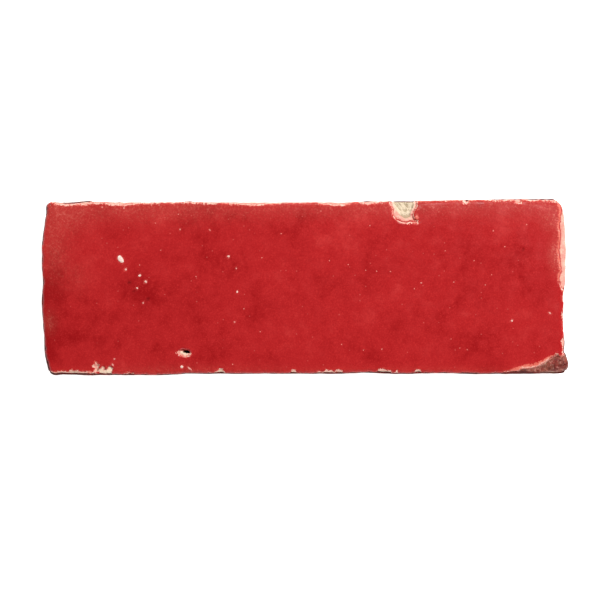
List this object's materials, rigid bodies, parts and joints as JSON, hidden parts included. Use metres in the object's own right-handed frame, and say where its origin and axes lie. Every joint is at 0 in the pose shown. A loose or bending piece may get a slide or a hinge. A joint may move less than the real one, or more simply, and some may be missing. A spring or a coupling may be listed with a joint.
{
  "type": "glazed brick tile",
  "caption": "Rectangular hand-cut clay brick tile with a red glazed face, dark glaze runs on its sides, and worn and chipped edges.",
  "frame": {"origin": "middle of the bedding face, the flat unglazed underside that goes into the mortar", "axes": "+X along the tile's length, towards the end with the broken corner; +Y across its width, towards the edge with the chip; +Z out of the glazed face"},
  "size_m": [0.15, 0.05, 0.015],
  "materials": {
    "fired_clay": "matte, rough, grainy",
    "pale_slip": "matte",
    "red_glaze": "satin gloss, worn, slightly wavy",
    "dark_glaze": "thin, half matte",
    "lime_grain": "matte"
  },
  "bodies": {
    "root": {"clay_biscuit": "fired_clay", "slip_coat": "pale_slip", "face_glaze": "red_glaze", "corner_glaze": "dark_glaze", "side_glaze_front": "dark_glaze", "side_glaze_back": "dark_glaze", "side_glaze_left": "dark_glaze", "side_glaze_right": "dark_glaze", "lime_grains": "lime_grain"}
  },
  "joints": []
}
